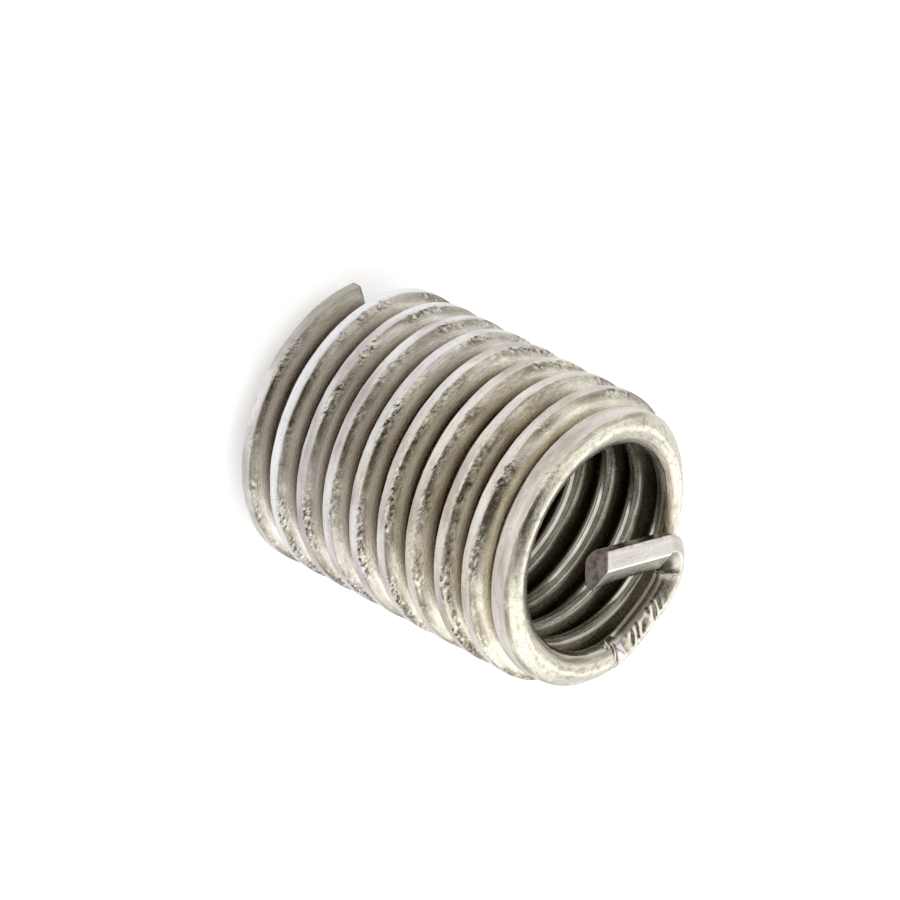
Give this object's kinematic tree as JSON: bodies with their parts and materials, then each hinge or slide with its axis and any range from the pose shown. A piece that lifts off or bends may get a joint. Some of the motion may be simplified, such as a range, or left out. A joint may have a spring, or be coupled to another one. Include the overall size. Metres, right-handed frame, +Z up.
{
  "type": "threaded insert",
  "caption": "Open coil of diamond-section stainless wire that lines a tapped hole as a screw thread, with a notched break-off driving tang across one end",
  "frame": {"origin": "on the coil's axis, level with the lowest point of the free end of the wire", "axes": "+Z runs up the coil's axis from the free end to the tang, +X points at the square cut of the free end, and the wire climbs counter-clockwise seen from above"},
  "size_m": [0.01, 0.01, 0.0129],
  "materials": {
    "stainless": "satin"
  },
  "bodies": {
    "root": {"coil_insert": "stainless"}
  },
  "joints": []
}
